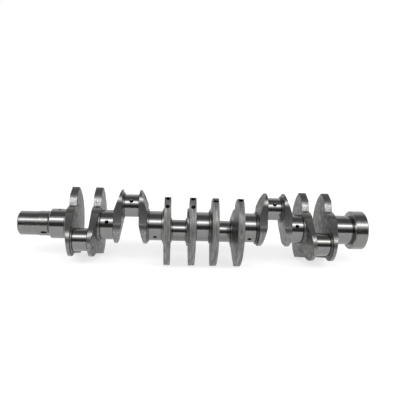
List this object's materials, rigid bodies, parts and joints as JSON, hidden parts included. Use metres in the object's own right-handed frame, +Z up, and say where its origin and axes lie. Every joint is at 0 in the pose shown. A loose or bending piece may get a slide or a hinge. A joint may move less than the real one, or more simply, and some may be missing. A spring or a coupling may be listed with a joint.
{
  "type": "crankshaft",
  "caption": "Long stepped crankshaft: ground journals joined by flat webs, some with fan-shaped counterweights, a stepped nose at one end and a thick flange at the other.",
  "frame": {"origin": "middle of main journal 4, on the main axis", "axes": "+X along the main axis from the nose to the rear flange, +Z up with the shaft lying on its counterweights, +Y to the side that crankpins 1 and 6 point away from"},
  "size_m": [0.6985, 0.158, 0.1476],
  "materials": {
    "ground_steel": "ground and polished bearing surface",
    "turned_steel": "fine-turned steel",
    "forged_steel": "shot-blasted forging with turned rims",
    "plug_steel": "plain pressed plug"
  },
  "bodies": {
    "root": {"nose": "turned_steel", "main_journal_1": "ground_steel", "main_journal_2": "ground_steel", "main_journal_3": "ground_steel", "main_journal_4": "ground_steel", "main_journal_5": "ground_steel", "main_journal_6": "ground_steel", "main_journal_7": "ground_steel", "crankpin_1": "ground_steel", "crankpin_2": "ground_steel", "crankpin_3": "ground_steel", "crankpin_4": "ground_steel", "crankpin_5": "ground_steel", "crankpin_6": "ground_steel", "web_1": "forged_steel", "web_2": "forged_steel", "web_3": "forged_steel", "web_4": "forged_steel", "web_5": "forged_steel", "web_6": "forged_steel", "web_7": "forged_steel", "web_8": "forged_steel", "web_9": "forged_steel", "web_10": "forged_steel", "web_11": "forged_steel", "web_12": "forged_steel", "rear_flange": "turned_steel", "oil_gallery_plugs": "plug_steel"}
  },
  "joints": []
}
